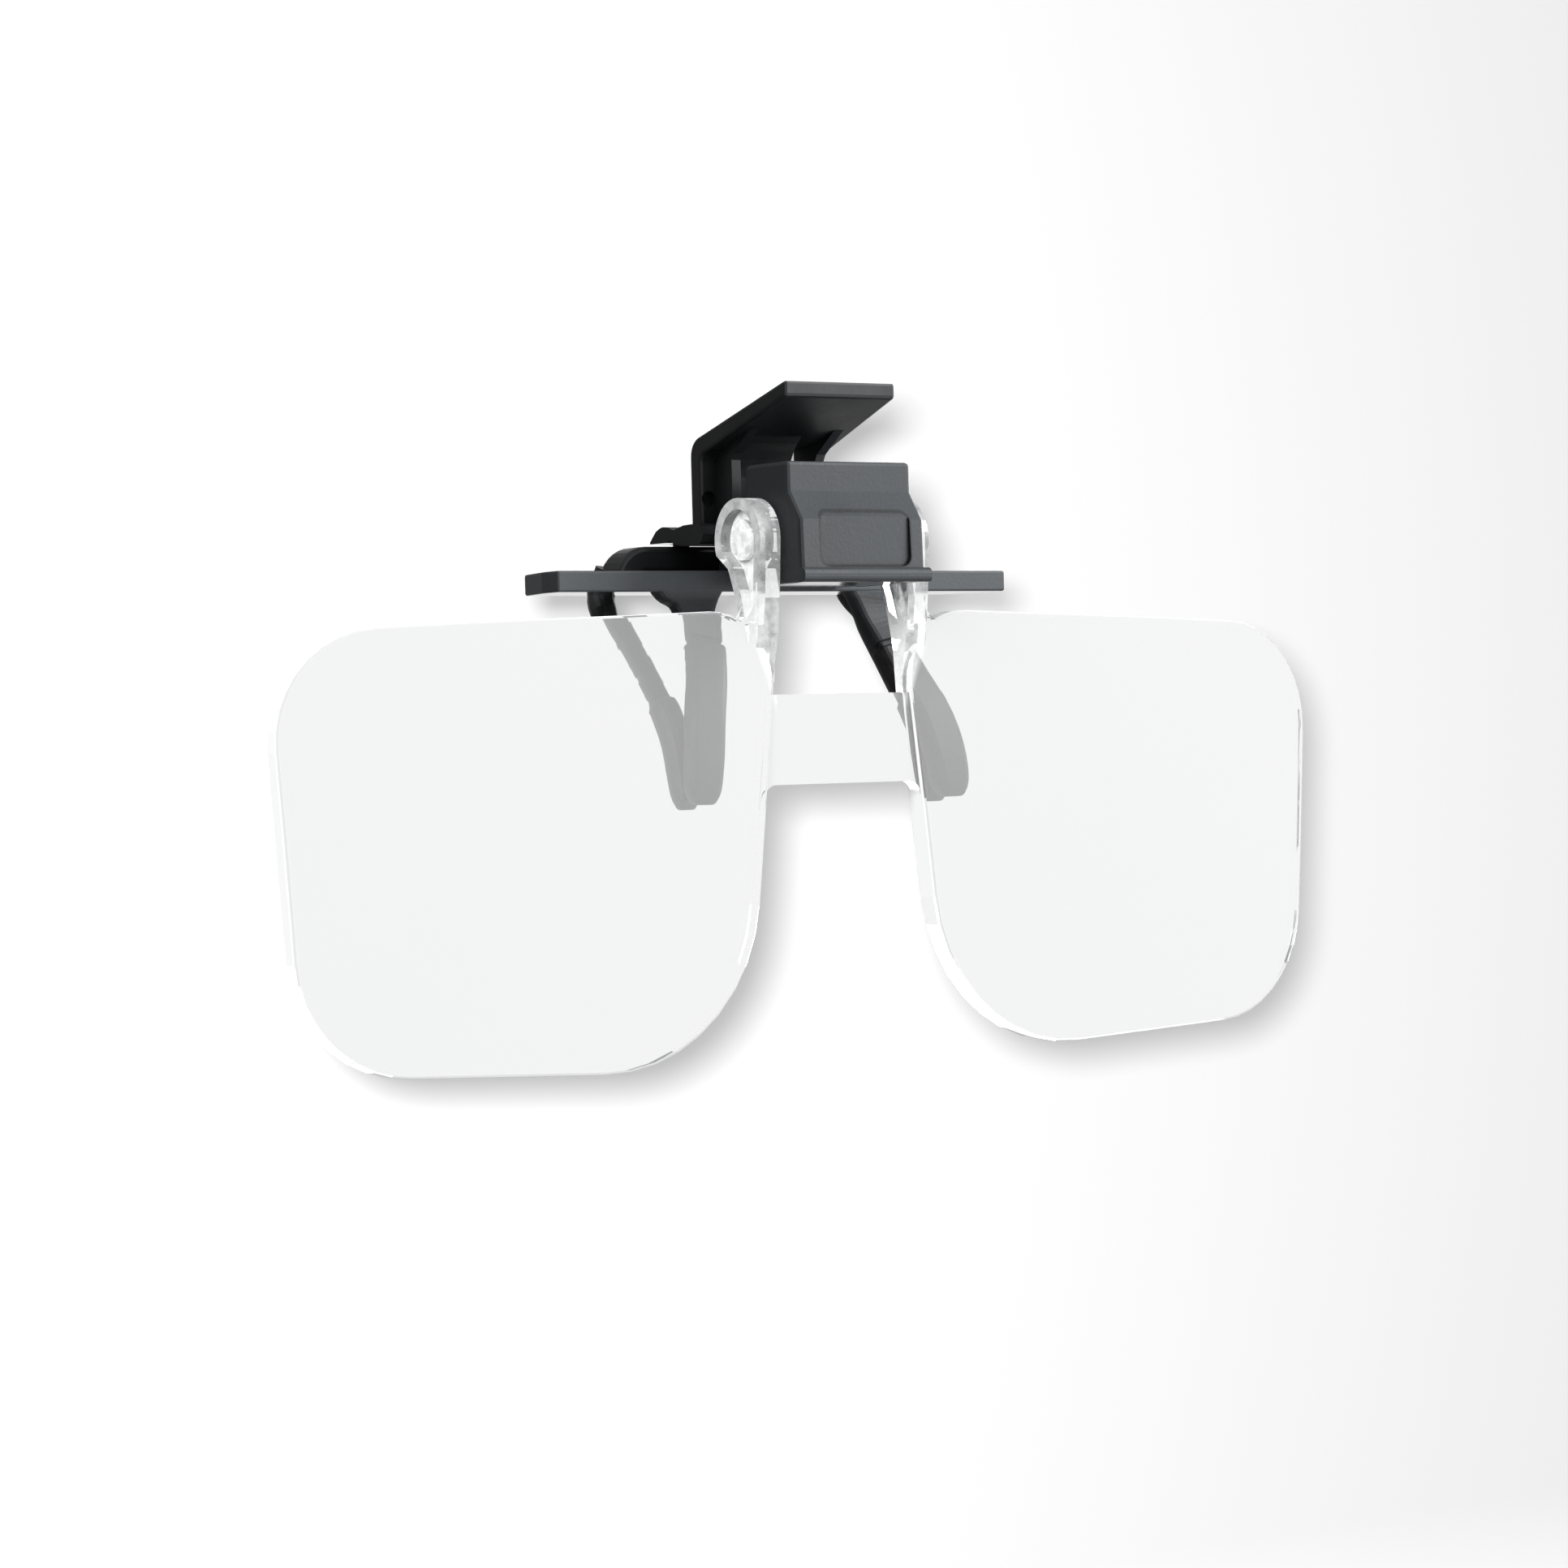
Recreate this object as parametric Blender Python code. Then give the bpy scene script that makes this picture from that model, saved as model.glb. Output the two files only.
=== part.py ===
"""Clip-on flip-up lenses for spectacles, as worn: +X is the wearer's left-to-right as seen from the
front, +Y points back to the wearer, +Z is up.  The origin is the middle of the brow bar's underside.

Sizes are millimetres in the constants and outlines; MM turns them into metres where a mesh is made.
"""

import math

import bmesh
import bpy
from mathutils import Vector

MM = 0.001

# Brow bar, which rests on the spectacle frame
BAR_HALF_LENGTH = 25.2
BAR_FRONT_Y = -4.2
BAR_BACK_Y = 4.3
BAR_TOP_Z = 1.95
BAR_END_CHAMFER = (1.4, 5.6)

# Housing of the flip hinge
HOUSING_HALF_WIDTH = 6.85
HOUSING_WALL = 1.1
HOUSING_BOTTOM_Z = 0.3
HOUSING_TOP_Z = 11.5
HOUSING_BACK_Y = -7.6
HOUSING_BACK_LOW_Y = -6.6
HOUSING_BACK_STEP_Z = (8.1, 7.4)
HOUSING_FRONT_TOP_Y = -14.7
HOUSING_FRONT_LOW_Y = -16.8
HOUSING_STEP_Z = (8.75, 6.1)
LIP_TOP_Z = 1.75
LIP_FRONT_Y = -17.6
LIP_HALF_WIDTH = 7.05
PANEL_SIZE = (9.9, 5.0)
PANEL_CENTRE = (0.35, 4.35)
PANEL_DEPTH = 0.4
CLEARANCE = 0.3

# Flip hinge: the ears of the lens moulding turn on short trunnions
FLIP_Y = -10.0
FLIP_Z = 4.5
TRUNNION_RADIUS = 1.9
SOCKET_RADIUS = 2.05
TRUNNION_INNER_X = 5.4
EAR_INNER_X = 7.17
EAR_OUTER_X = 9.42
EAR_HEAD_RADIUS = 3.85
EAR_TIP = (-11.5, -11.2)
EAR_RIM = 1.05
EAR_POCKET_DEPTH = 1.05
EAR_POCKET_END_Z = -3.3

# Lens moulding
LENS_Y = -11.7
LENS_WRAP = 0.7
LENS_WRAP_X = 33.0
LENS_CENTRE = (29.0, -21.0)
LENS_MID_THICKNESS = 3.4
LENS_EDGE_THICKNESS = 0.9
LENS_THINNING = 1.0 / 520.0
LENS_CORNERS = ((6.86, -1.9), (58.0, -3.6), (55.5, -42.3), (11.35, -44.2))
LENS_CORNER_RADII = (6.4, 10.1, 11.1, 16.2)
# Rings of a lens face: share of the outline, inset, and how much thinner than the lens there
LENS_RINGS = (
    (1.0, 0.0, 0.5),
    (1.0, 0.08, 0.2),
    (1.0, 0.26, 0.0),
    (0.86, 0.0, 0.0),
    (0.68, 0.0, 0.0),
    (0.48, 0.0, 0.0),
    (0.25, 0.0, 0.0),
)
BRIDGE_TOP_Z = -9.8
BRIDGE_BOTTOM_Z = -18.1
BRIDGE_THICKNESS = 1.5

# Thumb lever and rear jaw, which turn together on the jaw pin
JAW_Y = -0.3
JAW_Z = 5.45
PIN_RADIUS = 0.5
PIN_HOLE_RADIUS = 0.63
LEVER_HALF_WIDTH = 6.85
LEVER_FRONT_HALF_WIDTH = 6.15
LEVER_THICKNESS = 1.5
LEVER_WALL_Y = (0.1, 1.9)
LEVER_FRONT = (-13.6, 19.0)
LEVER_CORNER = (1.9, 14.3)
SIDE_WALL_X = (4.2, 5.2)
FOOT_HALF_WIDTH = 8.5
FOOT_Z = (4.45, 6.48)
JAW_ARM_X = 14.2
JAW_BEAM_REACH = 14.3
JAW_BEAM_Y = 5.15
JAW_BEAM_Z = (2.25, 4.6)


def material(name, colour, roughness, metallic=0.0, transmission=0.0):
    made = bpy.data.materials.new(name)
    made.use_nodes = True
    shader = made.node_tree.nodes["Principled BSDF"]
    shader.inputs["Base Color"].default_value = (*colour, 1.0)
    shader.inputs["Roughness"].default_value = roughness
    shader.inputs["Metallic"].default_value = metallic
    shader.inputs["Transmission Weight"].default_value = transmission
    return made


def add_object(name, shape, finish, origin=(0, 0, 0), smooth_angle=35.0):
    """Makes the object from a bmesh in millimetres, with its origin at a point of the frame."""
    bmesh.ops.translate(shape, vec=-Vector(origin), verts=shape.verts)
    bmesh.ops.scale(shape, vec=Vector((MM, MM, MM)), verts=shape.verts)
    bmesh.ops.recalc_face_normals(shape, faces=shape.faces)
    mesh = bpy.data.meshes.new(name)
    shape.to_mesh(mesh)
    shape.free()
    mesh.shade_smooth()
    mesh.set_sharp_from_angle(angle=math.radians(smooth_angle))
    made = bpy.data.objects.new(name, mesh)
    made.location = Vector(origin) * MM
    bpy.context.scene.collection.objects.link(made)
    if finish:
        mesh.materials.append(finish)
    return made


def boolean(target, name, shape, operation):
    """Joins or cuts target with a hidden helper made from a bmesh in the frame's millimetres."""
    helper = add_object(name, shape, None)
    helper.hide_render = True
    helper.display_type = "WIRE"
    step = target.modifiers.new(name, "BOOLEAN")
    step.operation = operation
    step.object = helper
    step.solver = "EXACT"
    return helper


def soften(target, width, segments=2, angle=40.0):
    """Rounds the edges made so far."""
    step = target.modifiers.new("soften", "BEVEL")
    step.width = width * MM
    step.segments = segments
    step.limit_method = "ANGLE"
    step.angle_limit = math.radians(angle)
    step.harden_normals = False
    return step


def arc(centre, radius, start, end, steps):
    """Points on a circle from one angle to another, in degrees."""
    angles = [math.radians(start + (end - start) * i / steps) for i in range(steps + 1)]
    return [(centre[0] + radius * math.cos(a), centre[1] + radius * math.sin(a)) for a in angles]


def rounded(corners, radii, steps=6):
    """A closed outline whose corners are replaced by arcs; a radius of 0 keeps the corner."""
    outline = []
    count = len(corners)
    for i, (corner, radius) in enumerate(zip(corners, radii)):
        here = Vector(corner)
        if radius == 0:
            outline.append(here)
            continue
        before = (Vector(corners[i - 1]) - here).normalized()
        after = (Vector(corners[(i + 1) % count]) - here).normalized()
        half = before.angle(after) / 2
        reach = radius / math.tan(half)
        centre = here + (before + after).normalized() * radius / math.sin(half)
        first = here + before * reach - centre
        turn = first.angle_signed(here + after * reach - centre)
        for k in range(steps + 1):
            angle = -turn * k / steps
            spun = Vector((
                first.x * math.cos(angle) - first.y * math.sin(angle),
                first.x * math.sin(angle) + first.y * math.cos(angle),
            ))
            outline.append(centre + spun)
    return [tuple(point) for point in outline]


def prism(outline, axis, low, high):
    """A solid with this outline, along X (outline in Y, Z), Y (in X, Z) or Z (in X, Y)."""
    place = {
        "X": lambda a, b, c: (c, a, b),
        "Y": lambda a, b, c: (a, c, b),
        "Z": lambda a, b, c: (a, b, c),
    }[axis]
    shape = bmesh.new()
    face = shape.faces.new([shape.verts.new(place(a, b, low)) for a, b in outline])
    top = bmesh.ops.extrude_face_region(shape, geom=[face])
    moved = [item for item in top["geom"] if isinstance(item, bmesh.types.BMVert)]
    bmesh.ops.translate(shape, vec=Vector(place(0, 0, high - low)), verts=moved)
    bmesh.ops.recalc_face_normals(shape, faces=shape.faces)
    return shape


def box(low, high):
    outline = [(low[0], low[1]), (high[0], low[1]), (high[0], high[1]), (low[0], high[1])]
    return prism(outline, "Z", low[2], high[2])


def rod(y, z, radius, low_x, high_x, steps=24):
    """A cylinder along X."""
    return prism(arc((y, z), radius, 0, 360 - 360 / steps, steps - 1), "X", low_x, high_x)


def loft(rings):
    """A closed solid through rings of equal length, with flat ends."""
    shape = bmesh.new()
    loops = [[shape.verts.new(point) for point in ring] for ring in rings]
    count = len(loops[0])
    for lower, upper in zip(loops, loops[1:]):
        for k in range(count):
            after = (k + 1) % count
            shape.faces.new((lower[k], lower[after], upper[after], upper[k]))
    shape.faces.new(loops[0])
    shape.faces.new(loops[-1])
    bmesh.ops.recalc_face_normals(shape, faces=shape.faces)
    return shape


def merged(*shapes):
    """One bmesh holding several, for helpers made of separate bodies."""
    whole = shapes[0]
    for other in shapes[1:]:
        spare = bpy.data.meshes.new("spare")
        other.to_mesh(spare)
        whole.from_mesh(spare)
        other.free()
        bpy.data.meshes.remove(spare)
    return whole


def mirrored(shape):
    """The shape on the other side of X = 0, with its faces still pointing out."""
    other = shape.copy()
    bmesh.ops.scale(other, vec=Vector((-1, 1, 1)), verts=other.verts)
    bmesh.ops.reverse_faces(other, faces=other.faces)
    return other


def curve_point(points, t):
    """A Catmull-Rom curve through points of any dimension, for t from 0 to len(points) - 1."""
    i = min(int(t), len(points) - 2)
    u = t - i
    p1, p2 = points[i], points[i + 1]
    p0 = points[i - 1] if i > 0 else [2 * a - b for a, b in zip(p1, p2)]
    p3 = points[i + 2] if i + 2 < len(points) else [2 * b - a for a, b in zip(p1, p2)]
    return [
        b + 0.5 * u * (c - a + u * (2 * a - 5 * b + 4 * c - d + u * (3 * (b - c) + d - a)))
        for a, b, c, d in zip(p0, p1, p2, p3)
    ]


def blade(stations, steps, roundness=0.35, sides=3):
    """A bar of rounded rectangular section along a curve.

    Each station is (x, y, z, width, thickness): width runs across the wearer, thickness along
    the line of sight, both square to the curve."""
    fine = [curve_point(stations, (len(stations) - 1) * k / steps) for k in range(steps + 1)]
    rings = []
    for k, (x, y, z, width, thickness) in enumerate(fine):
        ahead = Vector(fine[min(k + 1, steps)][:3])
        behind = Vector(fine[max(k - 1, 0)][:3])
        along = (ahead - behind).normalized()
        across = Vector((1, 0, 0))
        across = (across - along * along.dot(across)).normalized()
        deep = along.cross(across)
        radius = roundness * min(width, thickness)
        corners = [(-width, -thickness), (width, -thickness), (width, thickness), (-width, thickness)]
        section = rounded([(a / 2, b / 2) for a, b in corners], [radius] * 4, sides)
        rings.append([Vector((x, y, z)) + across * a + deep * b for a, b in section])
    return rings


def clear_scene():
    for old in list(bpy.data.objects):
        bpy.data.objects.remove(old, do_unlink=True)


# ---------------------------------------------------------------- front frame

# Centre line of a front prong: x, y, z, width, thickness
PRONG_ROOT = (
    (10.4, -3.05, 1.0, 8.8, 2.25),
    (10.3, -3.1, 0.0, 7.4, 2.1),
    (10.15, -3.2, -1.3, 4.7, 1.85),
    (10.3, -3.55, -3.0, 3.6, 1.85),
    (10.75, -4.5, -4.9, 3.4, 1.85),
)
PRONG_CORE = (
    (10.75, -4.5, -4.9, 3.4, 1.9),
    (10.82, -4.68, -5.2, 2.45, 1.05),
    (11.6, -6.2, -8.2, 2.45, 1.0),
    (12.9, -7.85, -12.0, 2.4, 1.0),
    (13.6, -8.7, -15.5, 2.3, 0.95),
    (13.9, -8.85, -18.6, 1.8, 0.8),
)
FRONT_SLEEVE = (
    (10.88, -4.85, -5.35, 3.75, 2.2),
    (11.6, -6.2, -8.2, 3.8, 2.2),
    (12.9, -7.85, -12.0, 3.8, 2.15),
    (13.6, -8.7, -15.5, 3.75, 2.1),
    (13.95, -8.85, -18.4, 3.4, 2.05),
    (14.0, -8.8, -19.7, 2.2, 1.5),
)
FRONT_BORE = (
    (10.78, -4.6, -5.05, 2.8, 1.4),
    (11.6, -6.2, -8.2, 2.8, 1.35),
    (12.9, -7.85, -12.0, 2.75, 1.35),
    (13.6, -8.7, -15.5, 2.65, 1.3),
    (13.9, -8.85, -18.9, 2.2, 1.15),
)


def front_frame(finish):
    """Brow bar, deck, front prongs and the two lugs that carry the jaw pin: one moulding."""
    chamfer_x, chamfer_y = BAR_END_CHAMFER
    end, back = BAR_HALF_LENGTH, BAR_BACK_Y
    half = [(end, BAR_FRONT_Y), (end, back - chamfer_y), (end - chamfer_x, back)]
    outline = half + [(-x, y) for x, y in reversed(half)]
    frame = add_object("front_frame", prism(outline, "Z", 0.0, BAR_TOP_Z), finish)
    soften(frame, 0.2)

    inside = HOUSING_HALF_WIDTH - HOUSING_WALL - CLEARANCE
    deck = box((-inside, HOUSING_FRONT_LOW_Y + HOUSING_WALL + CLEARANCE, 0.3), (inside, -3.0, 1.7))
    boolean(frame, "deck", deck, "UNION")

    prong = loft(blade(PRONG_ROOT[:-1] + PRONG_CORE[:1], 14))
    core = loft(blade(PRONG_CORE[1:], 12))
    neck = loft(blade(((10.7, -4.35, -4.7, 2.45, 1.0), PRONG_CORE[1], PRONG_CORE[2]), 4))
    for name, shape in (("prong", prong), ("neck", neck), ("core", core)):
        other = mirrored(shape)
        boolean(frame, name + "_left", shape, "UNION")
        boolean(frame, name + "_right", other, "UNION")

    lug_top = arc((JAW_Y, JAW_Z), 1.6, 0, 180, 10)
    lug = prism([(JAW_Y - 2.6, 1.2), (JAW_Y + 2.6, 1.2)] + lug_top, "X", 2.3, 3.8)
    boolean(frame, "lugs", merged(mirrored(lug), lug), "UNION")
    boolean(frame, "pin_hole", rod(JAW_Y, JAW_Z, PIN_HOLE_RADIUS, -5.0, 5.0), "DIFFERENCE")

    cradle_x = (3.0, 4.4)
    cradle = box((cradle_x[0], FLIP_Y - 2.6, 1.4), (cradle_x[1], FLIP_Y + 0.7, FLIP_Z - 0.2))
    boolean(frame, "cradles", merged(mirrored(cradle), cradle), "UNION")
    boolean(frame, "cradle_seat", rod(FLIP_Y, FLIP_Z, 1.6, -5.2, 5.2), "DIFFERENCE")
    return frame


def hinge_housing(finish):
    """Hollow block that snaps over the deck and carries the trunnions of the lens moulding."""
    high_step, low_step = HOUSING_STEP_Z
    high_back, low_back = HOUSING_BACK_STEP_Z
    outline = [
        (HOUSING_BACK_LOW_Y, HOUSING_BOTTOM_Z),
        (HOUSING_BACK_LOW_Y, low_back),
        (HOUSING_BACK_Y, high_back),
        (HOUSING_BACK_Y, HOUSING_TOP_Z - 0.05),
        (HOUSING_BACK_Y - 0.9, HOUSING_TOP_Z),
        (HOUSING_FRONT_TOP_Y, HOUSING_TOP_Z),
        (HOUSING_FRONT_TOP_Y, high_step),
        (HOUSING_FRONT_LOW_Y + 0.2, low_step),
        (HOUSING_FRONT_LOW_Y, HOUSING_BOTTOM_Z),
    ]
    half = HOUSING_HALF_WIDTH
    block = add_object("hinge_housing", prism(outline, "X", -half, half), finish)
    soften(block, 0.35)

    lip = [
        (HOUSING_FRONT_LOW_Y + 0.6, HOUSING_BOTTOM_Z),
        (HOUSING_FRONT_LOW_Y + 0.6, LIP_TOP_Z - 0.1),
        *arc((LIP_FRONT_Y + 0.55, LIP_TOP_Z - 0.65), 0.55, 90, 180, 5),
        *arc((LIP_FRONT_Y + 0.5, HOUSING_BOTTOM_Z + 0.5), 0.5, 180, 270, 4),
    ]
    boolean(block, "lip", prism(lip, "X", -LIP_HALF_WIDTH, LIP_HALF_WIDTH), "UNION")

    wall = HOUSING_WALL
    hollow = [
        (HOUSING_BACK_LOW_Y - wall, -1.0),
        (HOUSING_BACK_LOW_Y - wall, low_back - 0.5),
        (HOUSING_BACK_Y - wall, high_back - 0.5),
        (HOUSING_BACK_Y - wall, HOUSING_TOP_Z - wall),
        (HOUSING_FRONT_TOP_Y + wall, HOUSING_TOP_Z - wall),
        (HOUSING_FRONT_TOP_Y + wall, high_step - 0.3),
        (HOUSING_FRONT_LOW_Y + wall, low_step - 0.2),
        (HOUSING_FRONT_LOW_Y + wall, -1.0),
    ]
    boolean(block, "hollow", prism(hollow, "X", wall - half, half - wall), "DIFFERENCE")
    notch_front, notch_back = HOUSING_BACK_LOW_Y - wall - 0.5, HOUSING_BACK_LOW_Y + 1.0
    notch = box((wall - half, notch_front, -1.0), (half - wall, notch_back, 2.0))
    boolean(block, "deck_notch", notch, "DIFFERENCE")
    boolean(block, "sockets", rod(FLIP_Y, FLIP_Z, SOCKET_RADIUS, -half - 1, half + 1, 32), "DIFFERENCE")

    width, height = PANEL_SIZE
    x, z = PANEL_CENTRE
    corners = [(x - width / 2, z - height / 2), (x + width / 2, z - height / 2)]
    corners += [(x + width / 2, z + height / 2), (x - width / 2, z + height / 2)]
    rings = []
    deep = PANEL_DEPTH
    for y, wider in ((-2.0, 0.22), (-0.1, 0.22), (0.1, 0.06), (deep - 0.1, 0.0), (deep, -0.12)):
        rim = [(a + math.copysign(wider, a - x), b + math.copysign(wider, b - z)) for a, b in corners]
        ring = rounded(rim, [0.9 + wider] * 4, 5)
        rings.append([(a, HOUSING_FRONT_LOW_Y + y, b) for a, b in ring])
    boolean(block, "panel", loft(rings), "DIFFERENCE")
    return block


# ---------------------------------------------------------------- lens moulding


def lens_mid_y(x):
    return LENS_Y + LENS_WRAP * (x / LENS_WRAP_X) ** 2


def lens_thickness(x, z):
    away = (x - LENS_CENTRE[0]) ** 2 + (z - LENS_CENTRE[1]) ** 2
    return max(LENS_EDGE_THICKNESS, LENS_MID_THICKNESS - away * LENS_THINNING)


def divided(outline, longest):
    """The closed outline with points added so that no side is longer than this."""
    points = []
    for here, after in zip(outline, outline[1:] + outline[:1]):
        count = max(1, math.ceil(math.dist(here, after) / longest))
        for k in range(count):
            points.append(tuple(a + (b - a) * k / count for a, b in zip(here, after)))
    return points


def lens_shape():
    """The right-hand lens: a domed front, a gently wrapped back, thin at the rounded outer edge."""
    outline = divided(rounded(LENS_CORNERS, LENS_CORNER_RADII, 9), 4.5)
    middle = Vector((32.0, -22.0))
    shape = bmesh.new()
    sheets = []
    for side in (-0.5, 0.5):
        rings = []
        for share, inset, flatter in LENS_RINGS:
            ring = []
            for point in outline:
                out = Vector(point) - middle
                x, z = middle + out * share - out.normalized() * inset
                y = lens_mid_y(x) + side * (lens_thickness(x, z) - flatter)
                ring.append(shape.verts.new((x, y, z)))
            rings.append(ring)
        y = lens_mid_y(middle.x) + side * lens_thickness(*middle)
        centre = shape.verts.new((middle.x, y, middle.y))
        count = len(outline)
        for outer, inner in zip(rings, rings[1:]):
            for k in range(count):
                after = (k + 1) % count
                shape.faces.new((outer[k], outer[after], inner[after], inner[k]))
        for k in range(count):
            shape.faces.new((rings[-1][k], rings[-1][(k + 1) % count], centre))
        sheets.append(rings[0])
    front, back = sheets
    for k in range(len(front)):
        after = (k + 1) % len(front)
        shape.faces.new((front[k], front[after], back[after], back[k]))
    bmesh.ops.recalc_face_normals(shape, faces=shape.faces)
    return shape


def ear_outline(inset=0.0):
    """Side view of an ear in Y and Z: a round head that tapers to a point at the bridge."""
    radius = EAR_HEAD_RADIUS - inset
    head = arc((FLIP_Y, FLIP_Z), radius, -20, 188, 24)
    tip_y, tip_z = EAR_TIP
    front = [(-13.5 + inset, -0.45), (-13.05 + inset, -4.2)]
    back = [(-8.3 - inset, 1.9), (-9.38 - inset, -0.65), (-10.05 - inset, -2.8)]
    if inset:
        low = [(-13.15 + inset, EAR_POCKET_END_Z), (-10.15 - inset, EAR_POCKET_END_Z)]
        return head + front[:1] + low + back[1::-1]
    low = [(-12.3, -7.3), (tip_y - 0.35, tip_z), (tip_y + 0.35, tip_z), (-10.75, -5.8)]
    return head + front + low + back[::-1]


def lens_pair(finish):
    """Both lenses, the bridge and the ears with their trunnions: one clear moulding."""
    right = lens_shape()
    pair = add_object("lens_pair", right, finish, origin=(0, FLIP_Y, FLIP_Z))
    boolean(pair, "other_lens", mirrored(lens_shape()), "UNION")

    flare = 1.2
    edge_x = 9.7
    side = [
        (edge_x, BRIDGE_TOP_Z),
        (edge_x, BRIDGE_BOTTOM_Z - flare),
        *arc((8.66 - flare, BRIDGE_BOTTOM_Z - flare), flare, 0, 90, 5),
    ]
    outline = side + [(-x, z) for x, z in reversed(side)]
    low_y = LENS_Y - BRIDGE_THICKNESS / 2
    bridge = prism(outline, "Y", low_y, low_y + BRIDGE_THICKNESS)
    boolean(pair, "bridge", bridge, "UNION")

    ear = prism(ear_outline(), "X", EAR_INNER_X, EAR_OUTER_X)
    web_side = [
        (EAR_OUTER_X - 0.6, -0.5),
        *arc((EAR_OUTER_X + 2.7, -0.7), 2.7, 183, 266, 8),
        (EAR_OUTER_X + 4.3, -3.5),
        (EAR_OUTER_X + 4.8, -5.0),
        (EAR_OUTER_X + 3.6, -9.0),
        (EAR_OUTER_X - 0.6, -9.0),
    ]
    web = prism(web_side, "Y", LENS_Y - 1.0, LENS_Y + 1.0)
    trunnion = rod(FLIP_Y, FLIP_Z, TRUNNION_RADIUS, TRUNNION_INNER_X, EAR_INNER_X + 0.6)
    for name, shape in (("ear", ear), ("web", web), ("trunnion", trunnion)):
        other = mirrored(shape)
        boolean(pair, name + "_right", shape, "UNION")
        boolean(pair, name + "_left", other, "UNION")
    pocket = prism(ear_outline(EAR_RIM), "X", EAR_OUTER_X - EAR_POCKET_DEPTH, EAR_OUTER_X + 1.0)
    boolean(pair, "pockets", merged(mirrored(pocket), pocket), "DIFFERENCE")
    hub = rod(FLIP_Y, FLIP_Z, TRUNNION_RADIUS, EAR_INNER_X + 0.5, EAR_OUTER_X - 0.45)
    boolean(pair, "hubs", merged(mirrored(hub), hub), "UNION")
    return pair


# ---------------------------------------------------------------- flip detent


def detent_plunger(name, finish, side):
    """Acetal button that the spring presses against the end of a trunnion."""
    profile = ((1.35, 2.6), (1.35, TRUNNION_INNER_X - 0.6), (0.9, TRUNNION_INNER_X - CLEARANCE))
    rings = [[(side * x, FLIP_Y + radius * math.cos(a), FLIP_Z + radius * math.sin(a))
              for a in [2 * math.pi * k / 24 for k in range(24)]] for radius, x in profile]
    return add_object(name, loft(rings), finish, origin=(side * profile[0][1], FLIP_Y, FLIP_Z))


def helix(radius, wire, low, high, turns, steps_per_turn=14, sides=6, start=0.0):
    """Rings of round wire wound about the X axis, closed at the ends."""
    steps = int(turns * steps_per_turn)
    rings = []
    for k in range(steps + 1):
        angle = math.radians(start) + 2 * math.pi * turns * k / steps
        x = low + (high - low) * k / steps
        out = Vector((0, math.cos(angle), math.sin(angle)))
        ring = []
        for j in range(sides):
            a = 2 * math.pi * j / sides
            ring.append(out * (radius + wire * math.cos(a)) + Vector((x + wire * math.sin(a), 0, 0)))
        rings.append(ring)
    return rings


def detent_spring(finish):
    """Compression coil between the two plungers."""
    rings = helix(0.95, 0.17, -2.1, 2.1, 7)
    centred = [[point + Vector((0, FLIP_Y, FLIP_Z)) for point in ring] for ring in rings]
    return add_object("detent_spring", loft(centred), finish, origin=(0, FLIP_Y, FLIP_Z), smooth_angle=80)


# ---------------------------------------------------------------- rear jaw

REAR_ARM = (
    (13.7, 6.0, 2.6, 2.3, 1.9),
    (13.95, 6.5, 0.9, 2.5, 2.2),
    (14.45, 6.2, -0.3, 2.5, 2.3),
    (14.85, 5.1, -1.5, 2.4, 2.3),
    (14.75, 4.1, -3.4, 2.1, 1.8),
    (14.5, 1.25, -6.5, 2.0, 1.8),
    (14.3, -2.15, -10.3, 2.0, 1.9),
)
REAR_CORE = (
    (JAW_ARM_X + 0.1, -1.9, -10.1, 1.3, 1.2),
    (JAW_ARM_X + 0.1, -3.0, -11.3, 1.3, 1.2),
    (JAW_ARM_X + 0.1, -4.9, -14.3, 1.2, 1.1),
    (JAW_ARM_X, -5.9, -18.4, 1.0, 1.0),
)
REAR_SLEEVE = (
    (JAW_ARM_X + 0.1, -2.45, -10.6, 2.7, 2.5),
    (JAW_ARM_X + 0.1, -3.3, -11.6, 2.8, 2.6),
    (JAW_ARM_X + 0.1, -4.9, -14.3, 2.8, 2.6),
    (JAW_ARM_X, -6.0, -18.6, 2.7, 2.5),
    (JAW_ARM_X, -6.15, -20.2, 1.6, 1.4),
)
REAR_BORE = (
    (JAW_ARM_X + 0.1, -2.2, -10.4, 1.65, 1.55),
    (JAW_ARM_X + 0.1, -3.0, -11.3, 1.65, 1.55),
    (JAW_ARM_X + 0.1, -4.9, -14.3, 1.55, 1.45),
    (JAW_ARM_X, -5.95, -18.8, 1.35, 1.3),
)


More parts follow.
